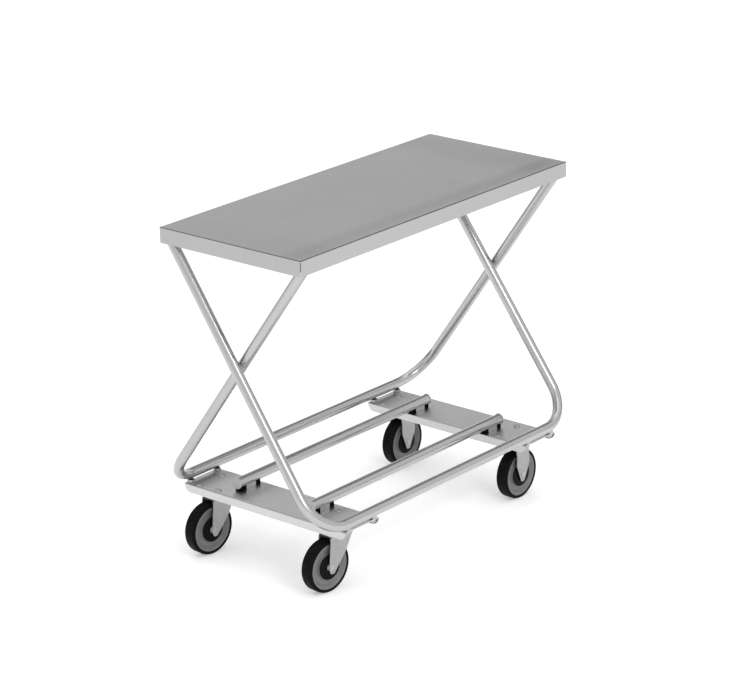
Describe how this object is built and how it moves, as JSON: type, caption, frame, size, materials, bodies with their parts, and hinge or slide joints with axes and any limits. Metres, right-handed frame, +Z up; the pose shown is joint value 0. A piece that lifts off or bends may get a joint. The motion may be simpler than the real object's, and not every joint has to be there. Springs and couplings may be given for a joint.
{
  "type": "stocking cart",
  "caption": "Flat-topped stocking cart: crossed tubular legs, long base rails, two cross channels, a pair of swivel casters and a pair of fixed casters.",
  "frame": {"origin": "on the floor under the middle of the deck", "axes": "+X along the cart from the swivel casters to the fixed casters, +Y to the left, +Z up"},
  "size_m": [1.0046, 0.5194, 0.832],
  "materials": {
    "deck_sheet_steel": "satin sheet steel, fine grain along the length",
    "channel_steel": "bright satin sheet steel",
    "welded_steel": "plain steel with a dull weld colour",
    "bright_tube": "bright plated round tube",
    "plug_plastic": "light grey moulded plastic",
    "fastener_zinc": "zinc-plated fasteners",
    "caster_zinc": "bright zinc-plated pressed steel",
    "bearing_steel": "hard ground steel",
    "tread_rubber": "black non-glossy rubber",
    "core_plastic": "mid grey moulded plastic",
    "guard_plastic": "black moulded plastic"
  },
  "bodies": {
    "cart": {"axle_rigid_left": "caster_zinc", "axle_rigid_right": "caster_zinc", "axle_sleeve_rigid_left": "bearing_steel", "axle_sleeve_rigid_right": "bearing_steel", "base_channel_rigid_end": "channel_steel", "base_channel_swivel_end": "channel_steel", "caster_plate_bolts": "fastener_zinc", "caster_plate_nuts": "fastener_zinc", "deck_pan": "deck_sheet_steel", "deck_rib_rigid_end": "channel_steel", "deck_rib_swivel_end": "channel_steel", "frame_tube_left": "bright_tube", "frame_tube_right": "bright_tube", "inner_rail_left": "bright_tube", "inner_rail_right": "bright_tube", "inner_spacers": "fastener_zinc", "kingpin_left": "caster_zinc", "kingpin_right": "caster_zinc", "leg_cross_weld_rigid_end": "welded_steel", "leg_cross_weld_swivel_end": "welded_steel", "leg_plate_bolts": "fastener_zinc", "leg_plate_nuts": "fastener_zinc", "leg_top_plate_rigid_left": "welded_steel", "leg_top_plate_rigid_right": "welded_steel", "leg_top_plate_swivel_left": "welded_steel", "leg_top_plate_swivel_right": "welded_steel", "outer_spacers": "fastener_zinc", "rail_end_plugs": "plug_plastic", "rail_stud_nuts": "fastener_zinc", "rail_studs": "fastener_zinc", "rigid_fork_left": "caster_zinc", "rigid_fork_right": "caster_zinc", "swivel_plate_left": "caster_zinc", "swivel_plate_right": "caster_zinc"},
    "swivel_fork_right": {"swivel_fork_right": "caster_zinc", "race_balls_right": "bearing_steel", "axle_swivel_right": "caster_zinc", "axle_sleeve_swivel_right": "bearing_steel"},
    "swivel_wheel_right": {"hub_bushing_swivel_right": "bearing_steel", "wheel_core_swivel_right": "core_plastic", "tyre_swivel_right": "tread_rubber", "thread_guards_swivel_right": "guard_plastic"},
    "rigid_wheel_right": {"hub_bushing_rigid_right": "bearing_steel", "wheel_core_rigid_right": "core_plastic", "tyre_rigid_right": "tread_rubber", "thread_guards_rigid_right": "guard_plastic"},
    "swivel_fork_left": {"swivel_fork_left": "caster_zinc", "race_balls_left": "bearing_steel", "axle_swivel_left": "caster_zinc", "axle_sleeve_swivel_left": "bearing_steel"},
    "swivel_wheel_left": {"hub_bushing_swivel_left": "bearing_steel", "wheel_core_swivel_left": "core_plastic", "tyre_swivel_left": "tread_rubber", "thread_guards_swivel_left": "guard_plastic"},
    "rigid_wheel_left": {"hub_bushing_rigid_left": "bearing_steel", "wheel_core_rigid_left": "core_plastic", "tyre_rigid_left": "tread_rubber", "thread_guards_rigid_left": "guard_plastic"}
  },
  "joints": [
    {"name": "swivel_right", "type": "hinge", "parent": "cart", "child": "swivel_fork_right", "pos_m": [-0.351, -0.182, 0.146], "axis": [0, 0, 1], "continuous": true},
    {"name": "swivel_wheel_spin_right", "type": "hinge", "parent": "swivel_fork_right", "child": "swivel_wheel_right", "pos_m": [-0.39231, -0.17802, 0.0635], "axis": [0.0958, 0.9954, 0], "continuous": true},
    {"name": "rigid_wheel_spin_right", "type": "hinge", "parent": "cart", "child": "rigid_wheel_right", "pos_m": [0.334, -0.182, 0.0635], "axis": [0, 1, 0], "continuous": true},
    {"name": "swivel_left", "type": "hinge", "parent": "cart", "child": "swivel_fork_left", "pos_m": [-0.351, 0.182, 0.146], "axis": [0, 0, 1], "continuous": true},
    {"name": "swivel_wheel_spin_left", "type": "hinge", "parent": "swivel_fork_left", "child": "swivel_wheel_left", "pos_m": [-0.39231, 0.18598, 0.0635], "axis": [0.0958, 0.9954, 0], "continuous": true},
    {"name": "rigid_wheel_spin_left", "type": "hinge", "parent": "cart", "child": "rigid_wheel_left", "pos_m": [0.334, 0.182, 0.0635], "axis": [0, 1, 0], "continuous": true}
  ]
}
